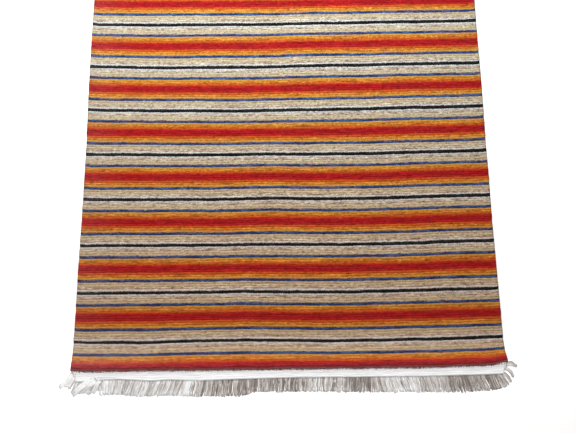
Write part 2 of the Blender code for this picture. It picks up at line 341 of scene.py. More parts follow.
def rowPlaces():
    # a line in each groove and on both shoulders of each row, and more lines in the end rows
    first = list(pile["endPlaces"])
    parts = (0.0, *pile["shoulders"])
    middle = [row + part for row in range(1, rowCount - 1) for part in parts]
    last = [rowCount - 1.0] + [rowCount - place for place in reversed(first)]
    return first + middle + last


def edgeDrop(inset):
    # how much lower the rounded edge lies at a distance in from the wall
    share = max(0.0, 1 - inset / pile["edgeRound"])
    return (pile["height"] - pile["wall"]) * share ** pile["edgeCurve"]


def rowShift(x, y):
    # how far a few broad waves in the cloth push its rows
    shift = 0.0
    for waveX, waveY, reach, amount in pile["waves"]:
        shift += amount * math.exp(-((x - waveX) ** 2 + (y - waveY) ** 2) / reach**2)
    return shift


def endShift(x):
    return readTable(pile["endWaves"], x, 1)


def pilePoint(x, row):
    y = row * carpet["rowPitch"] - halfLength
    inset = halfWidth - abs(x)
    endInset = min(row, rowCount - row) * carpet["rowPitch"]
    height = pile["height"] + pile["swell"] * 2 * waveNoise(pile["swellWaves"], x, y)
    if row == round(row):
        uneven = sum(waveNoise(waves, x, row) for waves in pile["grooveWaves"])
        height -= pile["groove"] + pile["grooveVary"] * uneven
    height -= edgeDrop(inset) + edgeDrop(endInset)
    height = max(height, pile["wall"])
    calm = min(1.0, endInset / pile["calmReach"])
    broad, fine = [waveNoise(waves, x, y) for waves in pile["wanderWaves"]]
    stray = pile["wander"] * 2 * (broad + pile["fineWander"] * fine)
    stray += pile["rowWander"] * 2 * waveNoise(pile["rowWaves"], x, row)
    edgeWay = endShift(x) if y < 0 else -endShift(-x)
    ragged = sum(softNoise(x * waves, apart, y) for waves, apart in pile["raggedWaves"])
    edgeWay += pile["endRagged"] * 2 * ragged
    y += calm * (rowShift(x, y) + stray) + (1 - calm) * edgeWay
    bulge = pile["sideWander"] * 2 * softNoise(y * pile["sideWaves"], math.copysign(5.0, x), 2.0)
    x += bulge * max(0.0, 1 - inset / pile["sideReach"]) * calm
    out = readTable(pile["sides"], y, 1 if x < 0 else 2)
    x += out * (x / halfWidth) ** 3
    return (*asItLies(x, y), height)


def makePile(material):
    columns, places = pileColumns(), rowPlaces()
    shape = bmesh.new()
    bmesh.ops.create_grid(shape, x_segments=len(columns) - 1, y_segments=len(places) - 1, size=0.5)
    mark = shape.loops.layers.uv.new("rows")
    top = list(shape.verts)
    spots = {}
    for vert in top:
        column = round((vert.co.x + 0.5) * (len(columns) - 1))
        line = round((vert.co.y + 0.5) * (len(places) - 1))
        spots[vert] = (columns[column], places[line])
    low = addWall(shape, spots)
    for face in shape.faces:
        for loop in face.loops:
            x, row = spots[loop.vert]
            flick = pile["endFlick"] * math.exp(-(halfWidth - abs(x)) / pile["flickReach"])
            loop[mark].uv = (x, row - flick)
    for vert in top:
        vert.co = pilePoint(*spots[vert])
    for vert in low:
        place = pilePoint(*spots[vert])
        vert.co = (place[0], place[1], 0.0)
    closeUnderside(shape)
    return finishPiece("wool_pile", shape, material)


# The last knots' tufts, fanned out over the edge of the band.
endTufts = {
    "count": 1700,
    "sides": 4,
    "steps": 2,
    "sideInset": 0.002,
    "inset": 0.0024,
    "overhang": (-0.0004, 0.0036),
    "overhangCurve": 1.6,  # most of them are short
    "rootRadius": 0.00060,
    "tipRadius": 0.00022,
    "rootHeight": (0.0058, 0.0092),
    "tipHeight": (0.0034, 0.0058),
    "tipStray": 0.0006,
    "arch": 0.0008,
    "rowsShown": (0.0, 1.1),  # where in the last rows their colour, with its painted shade, is read
}


def makeEndTufts(end, material):
    count = endTufts["count"]
    shape = unitStrands(count, endTufts["sides"], endTufts["steps"])
    mark = shape.loops.layers.uv.new("rows")
    low, high = endTufts["overhang"]
    routes = []
    for number in range(count):
        x = (2 * (number + draws.random()) / count - 1) * (halfWidth - endTufts["sideInset"])
        out = low + (high - low) * draws.random() ** endTufts["overhangCurve"]
        edgeX, edgeY = asItLies(x, -halfLength)
        edgeY += halfLength + endShift(x)
        root = (edgeX, edgeY + endTufts["inset"], draws.uniform(*endTufts["rootHeight"]))
        tipX = edgeX + draws.gauss(0, endTufts["tipStray"])
        tip = (tipX, edgeY - out, draws.uniform(*endTufts["tipHeight"]))
        routes.append((Vector(root), Vector(tip), draws.uniform(*endTufts["rowsShown"])))
    for face in shape.faces:
        for loop in face.loops:
            root, _, row = routes[round(loop.vert.co.x)]
            loop[mark].uv = (root.x, row)
    for vert in shape.verts:
        number = round(vert.co.x)
        root, tip, _ = routes[number]
        t = vert.co.z + 0.5
        angle = math.atan2(vert.co.y, vert.co.x - number)
        radius = endTufts["rootRadius"] + (endTufts["tipRadius"] - endTufts["rootRadius"]) * t
        place = root.lerp(tip, t)
        place.z += endTufts["arch"] * math.sin(math.pi * t)
        vert.co = place + Vector((math.cos(angle), 0, math.sin(angle))) * radius
    return finishPiece(f"end_tufts_{end}", shape, material, atEnd(end))


# How the wool looks. Waves are counted to a metre along a row, and to a row across it.
woolLook = {
    "redMiddle": 1.5,  # the row in the middle of the end's red stripe
    "rampRows": 10.5,
    "blend": 0.09,  # rows over which one yarn takes over from the next
    "lean": (0.0009, 0.003),  # how far the tufts lie over, and how much more to the left
    "fineRagged": (400, 2.2),
    "fineStray": 0.80,  # rows
    "broadRagged": (75, 0.5),
    "broadStray": 0.45,
    "blackSlope": 0.13,  # how much thinner the black rows are beaten on the left
    "threads": (105, 1.6),  # about 10 mm long
    "longThreads": (32, 1.0),
    "longShare": 0.65,  # of the long ones in where the second tone shows
    "knots": 290,
    "knotJitter": 0.8,
    "lightness": 1.02,
    "grain": (1.6, 0.8, 0.20),  # of threads, long threads and knots
    "paleGrain": 1.45,
    # painted shade in the grooves between the rows: its dashes, their stray and how dark it is
    "grooves": (62, 0.97),
    "grooveStray": 0.9,
    "grooveShade": 0.58,
    "stretches": (12, 1.5),
    "stretchMiddle": 0.06,
    "frayStray": 0.9,
    "fuzz": (900, 6),
    "relief": (0.5, 0.35, 0.35),  # of threads, knots and fuzz
    "bumpDepth": 0.0011,
    "warmDarks": 0.12,
    "endLightTint": (1.04, 0.985, 0.955, 1),  # painted light tint at the ends
    # the painted light tint in the middle of the length
    "middleLot": (0.94, 1.0, 1.05, 1),
    # the pale haze of painted sheen
    "paintedSheen": (0.62, 0.62, 0.64, 1),
    # the colour of the painted shade in the end rows
    "endShade": (0.33, 0.040, 0.055, 1),
    "warp": (0.90, 0.52, 0.49, 1),
    "yarns": [  # rows from the black one where it stops, its main tone, its second tone
        (0.66, (0.0064, 0.0058, 0.0053), (0.015, 0.013, 0.012)),
        (1.5, (0.545, 0.510, 0.480), (0.445, 0.390, 0.352)),
        (2.5, (0.400, 0.279, 0.206), (0.460, 0.358, 0.265)),
        (3.5, (0.523, 0.439, 0.261), (0.408, 0.293, 0.198)),
        (4.43, (0.485, 0.382, 0.235), (0.378, 0.255, 0.179)),
        (5.58, (0.015, 0.033, 0.115), (0.040, 0.070, 0.185)),
        (6.5, (0.552, 0.281, 0.048), (0.428, 0.164, 0.027)),
        (7.5, (0.478, 0.133, 0.016), (0.515, 0.183, 0.025)),
        (8.5, (0.472, 0.080, 0.0122), (0.440, 0.062, 0.0112)),
        (9.5, (0.333, 0.0090, 0.0088), (0.346, 0.0122, 0.0108)),
        (10.1, (0.300, 0.0062, 0.0088), (0.312, 0.0085, 0.0104)),
    ],
    "fades": {  # from here, to there, and the two values, if not 0 and 1
        # rows from the black row
        "nearBlack": (0.2, 1.6, 1.0, 0.0),
        "blueGrain": (4.2, 4.6, 0.0, -0.45),
        "amberGrain": (5.4, 5.8, 0.0, 0.22),
        "redGrain": (8.2, 8.8, 0.0, -0.32),
        # rows from an end
        "thinBlack": (20, 90, 0.02, -0.11),
        "endCrisp": (8, 50, 0.80, 1.05),
        # where the painted light tint turns cooler
        "middleLot": (25, 130),
        # painted sheen towards the ends
        "endDust": (15, 100, 0.004, 0.0),
        "endStripe": (4, 14, 1.0, 0.0),
        # painted shade in the end rows
        "endShade": (0.8, 3.2, 0.50, 0.0),
        "bareWarp": (0.1, 0.9, 0.55, 0.0),
        # painted shade in the end rows, as a darker light
        "endLight": (0.4, 2.5, 0.39, 1.0),
        # metres across the width
        "sideCrisp": (-0.38, -0.10, 0.96, 1.07),
        # painted sheen at the left edge, and most in the end stripes' left half
        "sideDust": (-0.45, -0.34, 0.020, 0.0),
        "stripeDust": (-0.42, -0.12, 0.053, 0.007),
        "stretches": (0.10, 0.42, 0.85, 0.15),
        # shares of a noise or of a rib
        "secondTone": (0.43, 0.59),
        # where the painted groove shade falls
        "groove": (0.45, 1.10),
        "dashes": (0.41, 0.60),
    },
}


def yarnStops(which):
    # the yarns' tones for a ramp that runs from the black row to the middle of the red
    rows, blend = woolLook["rampRows"], woolLook["blend"] / woolLook["rampRows"]
    yarns = woolLook["yarns"]
    stops = []
    for index, yarn in enumerate(yarns):
        start = 0.0 if index == 0 else yarns[index - 1][0] / rows + blend
        stops.append((start, yarn[which]))
        if index < len(yarns) - 1:
            stops.append((yarn[0] / rows - blend, yarn[which]))
    return stops


def woolFinish():
    wool = Finish("knotted wool", roughness=0.95, sheen=0.02)
    place = wool.node("ShaderNodeUVMap", {"uv_map": "rows"}, {})
    parts = wool.node("ShaderNodeSeparateXYZ", {}, {"Vector": place})
    along, row = parts, parts.other("Y")
    fromEnd = wool.node("ShaderNodeMath", {"operation": "MINIMUM"}, {0: row, 1: rowCount - row})
    lean, leanChange = woolLook["lean"]
    leaning = along - row * (lean - along * leanChange)

    def waves(name, x, y, detail=2.0, z=0.0):
        alongScale, rowScale = woolLook[name]
        return wool.blur(x * alongScale, y * rowScale, detail, z)

    def fade(name, value):
        return wool.span(value, *woolLook["fades"][name])

    # which yarn it is, by the distance in rows from the black row, along a ragged line
    ragged = (waves("fineRagged", along, row) - 0.5) * woolLook["fineStray"]
    ragged = ragged + (waves("broadRagged", along, row) - 0.5) * woolLook["broadStray"]
    repeat = carpet["rowsPerRepeat"]
    fromBlack = abs((row + ragged - woolLook["redMiddle"]) % repeat - repeat / 2)
    # the black rows are beaten thinner towards the left and towards the ends
    thinner = fade("thinBlack", fromEnd) - along * woolLook["blackSlope"]
    fromBlack = fromBlack + fade("nearBlack", fromBlack) * thinner
    share = fromBlack / woolLook["rampRows"]

    # each yarn's two tones, thread by thread
    streak = waves("threads", leaning, row)
    shade = waves("longThreads", leaning, row, 1.0, z=4.0)
    tones = [wool.ramp(share, yarnStops(which)) for which in (1, 2)]
    second = streak * (1 - woolLook["longShare"]) + shade * woolLook["longShare"]
    colour = wool.mix(fade("secondTone", second), *tones)

    # how much the threads stand apart: most in the pale yarns, less at the left and the ends
    depth = woolLook["paleGrain"] + fade("blueGrain", fromBlack)
    depth = depth + fade("amberGrain", fromBlack) + fade("redGrain", fromBlack)
    crisp = fade("sideCrisp", along) * fade("endCrisp", fromEnd)
    knots = wool.cells(leaning * woolLook["knots"], row, woolLook["knotJitter"])
    threadGrain, longGrain, knotGrain = woolLook["grain"]
    grain = (streak - 0.5) * threadGrain + (shade - 0.5) * longGrain
    grain = grain + (knots.other("Color") - 0.5) * knotGrain
    light = woolLook["lightness"] + grain * depth * crisp
    # painted shade: the grooves between the rows are dark in dashes
    middle = abs(row % 1 - 0.5) * 2  # 0 on a rib's crest, 1 in the groove
    groove = fade("groove", middle + (streak - 0.5) * woolLook["grooveStray"])
    dashes = fade("dashes", waves("grooves", leaning, row + 0.5, z=9.0))
    light = light * (1 - groove * dashes * crisp * woolLook["grooveShade"])
    # whole stretches of a row stand lighter or darker, most of all in the middle of the width
    stretches = waves("stretches", along, row, 1.0, z=13.0) - 0.5
    light = light * (1 + stretches * fade("stretches", abs(along - woolLook["stretchMiddle"])))

    # painted light tint, a little cooler towards the middle of the length than at the ends
    lightTint = wool.mix(fade("middleLot", fromEnd), woolLook["endLightTint"], woolLook["middleLot"])
    colour = wool.mix(1.0, colour, lightTint, "MULTIPLY")
    # painted sheen: a pale haze at the left edge and towards the ends, and most in the end stripes'
    # left half
    paintedSheen = fade("sideDust", along) + fade("endDust", fromEnd)
    paintedSheen = paintedSheen + fade("endStripe", fromEnd) * fade("stripeDust", along)
    colour = wool.mix(paintedSheen, colour, woolLook["paintedSheen"])
    # the end rows bend down, with painted shade on them, and pale warp shows between their last
    # tufts
    colour = wool.mix(fade("endShade", fromEnd), colour, woolLook["endShade"])
    fray = fromEnd + (streak - 0.5) * woolLook["frayStray"]
    colour = wool.mix(fade("bareWarp", fray), colour, woolLook["warp"])
    light = light * fade("endLight", fray)

    threadRelief, knotRelief, fuzzRelief = woolLook["relief"]
    height = streak * threadRelief + (1 - knots) * knotRelief
    height = height + waves("fuzz", along, row) * fuzzRelief
    toned = wool.tint(colour, light, woolLook["warmDarks"])
    wool.drive(toned, height, woolLook["bumpDepth"])
    return wool.material


# The flat-woven bands.
band = {
    "half": 0.4440,
    "height": 0.0032,
    "ribs": 4,
    "groove": 0.0007,
    "gap": 0.0006,
    "flatDepth": 0.019,
    "cornerStart": 0.38,
    "cornerReach": 0.064,
    "cornerStretch": (0.0016, 0.0090),  # left, right
    "cornerFade": 0.6,  # how much less of it is left at the outer edge
    "ribSteps": 4,
    "columnStep": 0.004,
    "ribCurve": 0.8,
    "uneven": 0.0002,
    "unevenWaves": (90, 2, 3.0),  # to a metre, to a rib, and a third number
    "wander": 0.0006,
    "wanderWaves": (30, 0.6, 8.0),
    "sideTurn": 0.003,  # the sides turn down over this
    "edgeTurn": 0.3,  # and the long edges over this share of a rib
    "edgeDrop": 0.0009,
    "edge": [  # along the end, the outer edge
        (-0.444, -0.0216),
        (-0.419, -0.0214),
        (-0.395, -0.0180),
        (-0.350, -0.0174),
        (-0.290, -0.0212),
        (-0.246, -0.0196),
        (-0.185, -0.0218),
        (-0.080, -0.0193),
        (0.025, -0.0178),
        (0.125, -0.0186),
        (0.272, -0.0189),
        (0.418, -0.0170),
        (0.444, -0.0158),
    ],
}


def pileEnd(x):
    # the pile's end edge at x, straight between the places where its solid has columns
    places = [asItLies(part / 10 * halfWidth, -halfLength) for part in range(-10, 11)]
    return readTable([(px, py + halfLength) for px, py in places], x, 1) + endShift(x)


def bandEdge(x):
    return readTable(band["edge"], x, 1)


def bandPoint(x, rib, onTop):
    ribs = band["ribs"]
    inner = pileEnd(x) - band["gap"]
    y = inner + (bandEdge(x) - inner) * rib / ribs
    reach = max(0.0, (abs(x) - band["cornerStart"]) / band["cornerReach"]) ** 2
    left, right = band["cornerStretch"]
    stretch = reach * (1 - band["cornerFade"] * rib / ribs) * (right if x > 0 else -left)
    if not onTop:
        return x + stretch, y, 0.0
    crest = abs(math.sin(math.pi * rib)) ** band["ribCurve"]
    height = band["height"] - band["groove"] * (1 - crest)
    height += band["uneven"] * waveNoise(band["unevenWaves"], x, rib)
    edge = min(rib, ribs - rib, (band["half"] - abs(x)) / band["sideTurn"])
    height -= band["edgeDrop"] * max(0.0, 1 - edge / band["edgeTurn"]) ** 2
    calm = min(1.0, min(rib, ribs - rib))
    y += band["wander"] * waveNoise(band["wanderWaves"], x, rib) * calm
    return x + stretch, y, height


def makeBand(end, material):
    columns = math.ceil(2 * band["half"] / band["columnStep"])
    lines = band["ribs"] * band["ribSteps"]
    shape = bmesh.new()
    bmesh.ops.create_grid(shape, x_segments=columns, y_segments=lines, size=0.5)
    mark = shape.loops.layers.uv.new("weave")
    top = list(shape.verts)
    spots = {}
    for vert in top:
        rib = round((0.5 - vert.co.y) * lines) / band["ribSteps"]
        spots[vert] = (vert.co.x * 2 * band["half"], rib)
    low = addWall(shape, spots)
    for face in shape.faces:
        for loop in face.loops:
            loop[mark].uv = spots[loop.vert]
    for vert in top:
        vert.co = bandPoint(*spots[vert], True)
    for vert in low:
        vert.co = bandPoint(*spots[vert], False)
    closeUnderside(shape)
    return finishPiece(f"white_band_{end}", shape, material, atEnd(end))


# How the bands' cotton looks. Waves are counted to a metre along a band, and to a rib across it.
cottonLook = {
    "threads": (260, 4),
    "threadShade": 0.12,
    "uneven": (22, 1.5),
    "patches": (0.4, 0.7),  # where the unevenness turns from white to greyer
    "picks": 3,  # lines of weft to a rib
    "pickWaves": (40, 1),
    "pickStray": 0.5,
    "pickShade": 0.03,
    "gap": (0.72, 1.1),  # where between two ribs the shade starts, and where it is full
    "gapStray": 1.2,
    "gapShade": 0.22,
    "lightness": 0.93,
    "white": (0.870, 0.885, 0.900, 1),
    "greyer": (0.832, 0.846, 0.868, 1),
    "relief": (0.4, 0.5),  # of picks and threads
    "bumpDepth": 0.0004,
}


def bandFinish():
    cotton = Finish("flat-woven cotton", roughness=0.9, sheen=0.05)
    place = cotton.node("ShaderNodeUVMap", {"uv_map": "weave"}, {})
    parts = cotton.node("ShaderNodeSeparateXYZ", {}, {"Vector": place})
    along, rib = parts, parts.other("Y")

    def waves(name, detail=2.0):
        alongScale, ribScale = cottonLook[name]
        return cotton.blur(along * alongScale, rib * ribScale, detail)

    line = abs(rib % 1 - 0.5) * 2  # 0 on a rib's crest, 1 between two ribs
    stray = (waves("pickWaves") - 0.5) * cottonLook["pickStray"]
    picks = abs((rib * cottonLook["picks"] + stray) % 1 - 0.5) * 2
    threads = waves("threads", 3.0)
    uneven = waves("uneven")
    gap = cotton.span(line + (uneven - 0.5) * cottonLook["gapStray"], *cottonLook["gap"])
    light = cottonLook["lightness"] + (threads - 0.5) * cottonLook["threadShade"]
    light = light - gap * cottonLook["gapShade"] - picks * cottonLook["pickShade"]
    greyness = cotton.span(uneven, *cottonLook["patches"])
    colour = cotton.mix(greyness, cottonLook["white"], cottonLook["greyer"])
    pickRelief, threadRelief = cottonLook["relief"]
    height = (1 - picks) * pickRelief + threads * threadRelief
    cotton.drive(cotton.tint(colour, light), height, cottonLook["bumpDepth"])
    return cotton.material


# The fringe: loose warp ends. A few strands make a cord, a few cords a lock, and bundles lie askew.
fringe = {
    "sides": 5,
    "steps": 5,
    "rootRadius": 0.00062,
    "tipRadius": 0.00050,
    "rootHeight": 0.0003,
    "layerHeight": 0.0021,  # what all layers are counted in
    "archStart": 0.12,  # where in its arch a strand starts
    "archRun": 0.95,
    "archCurve": 0.8,
    "under": {  # single strands under the locks, greyer in painted shade
        "count": 950,
        "leanWander": 0.004,
        "leanWaves": 60,
        "leanStray": 0.0012,
        "reach": 0.0020,
        "reachStray": 0.0012,
        "bowStray": 0.0008,
        "layers": (0.0, 0.35),
        # painted shade: greyness added to the under strands
        "shadeGreys": (0.10, 0.15, 0.25, 0.45, 0.65),
        "greyStray": 0.08,
    },
    "lock": {  # what it adds to the lean, reach and grey of its place, more or less
        "cords": 4,
        "draw": 0.92,  # share of a lock's width that its tips keep
        "lean": 0.0026,
        "reach": (-0.0008, 0.0010),
        "bowStray": 0.0017,
        "grey": 0.12,
    },
    "cord": {
        "count": 300,
        "strands": 4,
        "width": 0.0026,
        "tipWidth": 0.0022,
        "sideInset": 0.001,
        "placeStray": 0.0004,
        "leanStray": 0.0013,
        "reach": 0.0026,
        "reachStray": 0.0008,
        "layer": 0.35,
        "layerStray": 0.75,  # only upwards
        "grey": -0.12,
        # uneven soil, and painted shade between the strands
        "greyStray": 0.20,
    },
    "strand": {
        "tipStray": (0.0005, 0.0006),
        "bowStray": 0.0006,
        "layerStray": 0.25,
        "greyStray": 0.07,
    },
    "bundle": {
        "reachStray": (-0.16, 0.03),  # of its length
        "cordWidth": 0.0020,
        "cordTipWidth": 0.0016,
        "layerStray": 0.3,
        "greyStray": 0.22,
    },
    "lies": {  # along the end, how far the locks lean, how far they reach
        "near": [
            (-0.444, -0.009, 0.022),
            (-0.425, -0.010, 0.018),
            (-0.400, -0.012, 0.026),
            (-0.394, 0.002, 0.028),
            (-0.295, -0.015, 0.029),
            (-0.230, -0.010, 0.029),
            (-0.100, -0.002, 0.032),
            (-0.086, -0.003, 0.031),
            (-0.074, -0.002, 0.025),
            (0.150, -0.002, 0.028),
            (0.230, 0.012, 0.029),
            (0.330, 0.003, 0.031),
            (0.385, 0.013, 0.031),
            (0.430, 0.011, 0.027),
            (0.444, 0.013, 0.020),
        ],
        "far": [
            (-0.444, -0.006, 0.028),
            (-0.200, 0.002, 0.030),
            (0.100, -0.003, 0.030),
            (0.444, 0.006, 0.028),
        ],
    },
    "soilAndShade": {  # along the end, how grey the warp has become, and at the far left painted shade on the strands under the bundles that lie across
        "near": [
            # painted shade under the left bundles
            (-0.444, 0.35),
            (-0.412, 0.25),
            (-0.400, 0.15),
            (-0.335, 0.42),
            (-0.310, 0.20),
            (-0.245, 0.31),
            (-0.200, 0.26),
            (-0.165, 0.82),
            (-0.075, 0.88),
            (-0.050, 0.66),
            (0.020, 0.86),
            (0.032, 0.62),
            (0.118, 0.64),
            (0.130, 0.88),
            (0.170, 0.88),
            (0.180, 0.44),
            (0.235, 0.36),
            (0.310, 0.46),
            (0.332, 0.84),
            (0.444, 0.80),
        ],
        "far": [
            (-0.444, 0.30),
            (-0.250, 0.10),
            (0.000, 0.50),
            (0.220, 0.20),
            (0.444, 0.55),
        ],
    },
    "bundles": {  # root x and y, tip x and y, widths at root and tip, cords, bow, layer, greyness
        "near": [
            (-0.4490, -0.0030, -0.4765, -0.0320, 0.008, 0.007, 16, 0.0022, 0.9, 0.04),
            (-0.4480, -0.0085, -0.4660, -0.0315, 0.010, 0.009, 18, 0.0010, 0.7, 0.08),
            (-0.4455, -0.0160, -0.4570, -0.0360, 0.006, 0.006, 8, 0.0000, 0.3, 0.25),
            (-0.4065, -0.0185, -0.4480, -0.0470, 0.013, 0.008, 18, -0.0020, 2.0, -0.08),
            (-0.3990, -0.0182, -0.4370, -0.0415, 0.013, 0.012, 18, -0.0018, 1.6, -0.05),
            (-0.3900, -0.0180, -0.4060, -0.0445, 0.010, 0.008, 12, 0.0000, 1.3, 0.15),
            (0.4530, 0.0026, 0.4765, -0.0010, 0.0075, 0.0055, 18, 0.0034, 1.6, 0.47),
            (0.4500, -0.0050, 0.4680, -0.0230, 0.0056, 0.0056, 14, 0.0034, 1.0, 0.44),
            (0.4470, -0.0140, 0.4615, -0.0335, 0.0052, 0.0052, 10, 0.0014, 0.6, 0.48),
        ],
        "far": [
            (-0.4465, -0.0030, -0.4690, -0.0130, 0.006, 0.005, 7, 0.0010, 1.0, 0.25),
            (-0.4455, -0.0110, -0.4630, -0.0290, 0.006, 0.006, 7, 0.0000, 0.6, 0.35),
            (0.4485, -0.0030, 0.4690, -0.0130, 0.006, 0.005, 7, 0.0010, 1.0, 0.35),
            (0.4470, -0.0110, 0.4630, -0.0290, 0.006, 0.006, 7, 0.0000, 0.6, 0.25),
        ],
    },
}


def unitStrands(count, sides, steps):
    # straight tubes side by side, one for each whole number along X, to be laid out after
    tube = bmesh.new()
    bmesh.ops.create_cone(tube, cap_ends=True, segments=sides, radius1=0.3, radius2=0.3, depth=1.0)
    upright = [edge for edge in tube.edges if abs(edge.verts[0].co.z - edge.verts[1].co.z) > 0.5]
    bmesh.ops.subdivide_edges(tube, edges=upright, cuts=steps - 1, use_grid_fill=True)
    mesh = bpy.data.meshes.new("one strand")
    tube.to_mesh(mesh)
    tube.free()
    holder = bpy.data.objects.new("one strand", mesh)
    bpy.context.scene.collection.objects.link(holder)
    array = holder.modifiers.new("row of strands", "ARRAY")
    array.count = count
    array.use_relative_offset = False
    array.use_constant_offset = True
    array.constant_offset_displace = (1, 0, 0)
    solid = holder.evaluated_get(bpy.context.evaluated_depsgraph_get())
    shape = bmesh.new()
    shape.from_mesh(solid.to_mesh())
    bpy.data.objects.remove(holder)
    return shape


def layCord(routes, root, tip, across, widths, layer, grey, cordBow):
    # one cord's strands; across is the direction that they are spread in, at its root and tip
    strand = fringe["strand"]
    strayAcross, strayY = strand["tipStray"]
    for _ in range(fringe["cord"]["strands"]):
        offset = draws.uniform(-0.5, 0.5)
        rootPlace = Vector(root) + Vector(across) * offset * widths[0]
        spread = offset * widths[1] + draws.gauss(0, strayAcross)
        tipPlace = Vector(tip) + Vector(across) * spread
        tipPlace.y += draws.gauss(0, strayY)
        bow = cordBow + draws.gauss(0, strand["bowStray"])
        depth = layer + draws.uniform(-strand["layerStray"], strand["layerStray"])
        tone = grey + draws.gauss(0, strand["greyStray"])
        routes.append((rootPlace, tipPlace, bow, max(0.0, depth), tone))


def lieAt(end, x):
    # how far the locks lean and reach at x, and how grey they are
    lies, soilAndShade = fringe["lies"][end], fringe["soilAndShade"][end]
    return readTable(lies, x, 1), readTable(lies, x, 2), readTable(soilAndShade, x, 1)


def addUnderStrands(routes, end):
    under = fringe["under"]
    for number in range(under["count"]):
        x = band["half"] * (2 * (number + draws.random()) / under["count"] - 1)
        y = bandEdge(x) - carpet["gap"]
        lean, reach, grey = lieAt(end, x)
        lean += under["leanWander"] * softNoise(x * under["leanWaves"], 5.0, 1.0)
        lean += draws.gauss(0, under["leanStray"])
        reach += under["reach"]
        reach -= abs(draws.gauss(0, under["reachStray"]))
        # the under strands are greyer in painted shade
        grey += draws.choice(under["shadeGreys"])
        grey += draws.gauss(0, under["greyStray"])
        tip = Vector((x + lean, y - reach))
        bow = draws.gauss(0, under["bowStray"])
        routes.append((Vector((x, y)), tip, bow, draws.uniform(*under["layers"]), grey))


def addLocks(routes, end):
    lock, cord = fringe["lock"], fringe["cord"]
    pitch = 2 * band["half"] / cord["count"]
    limit = band["half"] - cord["sideInset"]
    for number in range(math.ceil(cord["count"] / lock["cords"])):
        middle = (number + 0.5) * lock["cords"] * pitch - band["half"]
        lockLean = draws.uniform(-lock["lean"], lock["lean"])
        lockReach = draws.uniform(*lock["reach"])
        lockBow = draws.gauss(0, lock["bowStray"])
        lockGrey = draws.uniform(-lock["grey"], lock["grey"])
        for place in range(lock["cords"]):
            x = middle + (place - (lock["cords"] - 1) / 2) * pitch
            x = max(-limit, min(limit, x + draws.gauss(0, cord["placeStray"])))
            y = bandEdge(x) - carpet["gap"]
            _, reach, grey = lieAt(end, x)
            lean = lieAt(end, middle)[0] + lockLean + draws.gauss(0, cord["leanStray"])
            reach = reach + cord["reach"] + lockReach + draws.gauss(0, cord["reachStray"])
            tip = (middle + (x - middle) * lock["draw"] + lean, y - reach)
            layer = cord["layer"] + cord["layerStray"] * draws.random()
            grey = grey + cord["grey"] + lockGrey + draws.gauss(0, cord["greyStray"])
            widths = (cord["width"], cord["tipWidth"])
            layCord(routes, (x, y), tip, (1, 0), widths, layer, grey, lockBow)


def addBundles(routes, end):
    chance = fringe["bundle"]
    widths = (chance["cordWidth"], chance["cordTipWidth"])
    bundles = fringe["bundles"][end]
    for rootX, rootY, tipX, tipY, rootWidth, tipWidth, count, bow, layer, grey in bundles:
        run = Vector((tipX - rootX, tipY - rootY))
        across = run.orthogonal().normalized()
        for cord in range(count):
            share = (cord + 0.5) / count - 0.5
            root = Vector((rootX, rootY)) + across * share * rootWidth
            tip = Vector((tipX, tipY)) + across * share * tipWidth
            tip += run * draws.uniform(*chance["reachStray"])
            tone = grey + draws.gauss(0, chance["greyStray"])
            depth = layer + draws.uniform(-chance["layerStray"], chance["layerStray"])
            layCord(routes, root, tip, across, widths, depth, tone, bow)


def strandRoutes(end):
    # for each strand its root and tip, sideways bow, layer and greyness
    routes = []
    addUnderStrands(routes, end)
    addLocks(routes, end)
    addBundles(routes, end)
    return routes


def strandPoint(route, t, angle):
    # a point on a strand's skin: t from root to tip, angle round it
    root, tip, bow, layer, _ = route
    radius = fringe["rootRadius"] + (fringe["tipRadius"] - fringe["rootRadius"]) * t
    run = tip - root
    across = run.orthogonal().normalized()
    place = root + run * t + across * (bow * math.sin(math.pi * t) + radius * math.cos(angle))
    archShare = min(1.0, fringe["archStart"] + t * fringe["archRun"])
    arch = math.sin(math.pi * archShare) ** fringe["archCurve"]
    lift = fringe["rootHeight"] * (1 - t) + fringe["layerHeight"] * layer * arch
    return place.x, place.y, lift + radius * (1 + math.sin(angle))


def makeFringe(end, material):
    routes = strandRoutes(end)
    shape = unitStrands(len(routes), fringe["sides"], fringe["steps"])
    tone = shape.verts.layers.float.new("tone")
    run = shape.verts.layers.float.new("run")
    for vert in shape.verts:
        number = round(vert.co.x)
        t = vert.co.z + 0.5
        *_, vert[tone] = routes[number]
        vert[run] = t
        angle = math.atan2(vert.co.y, vert.co.x - number)
        vert.co = strandPoint(routes[number], t, angle)
    return finishPiece(f"loose_fringe_{end}", shape, material, atEnd(end))


# How the warp looks. Waves and twists are counted to a metre.
warpLook = {
    "fibres": (1400, 160),
    "fibreShade": 0.34,
    "stain": (60, 40),
    "stainAmount": 0.35,
    "twists": 420,
    "twistStray": 0.8,
    "twistShade": 0.06,
    "addedSoil": 0.03,
    "palerTip": (0.50, 0.95, 0.0, 0.20),  # paler towards the tip: from and to, along a strand, and the two values
    "tones": [  # by how grey it is
        (0.0, (0.90, 0.91, 0.93)),
        (0.35, (0.64, 0.615, 0.60)),
        (1.0, (0.22, 0.18, 0.155)),
    ],
    "rootShade": (0.0, 0.14, 0.35, 0.0),
    "tipShade": (0.95, 1.0, 0.0, 0.28),
    "relief": (0.6, 0.5),  # of fibres and twist
    "bumpDepth": 0.0004,
}


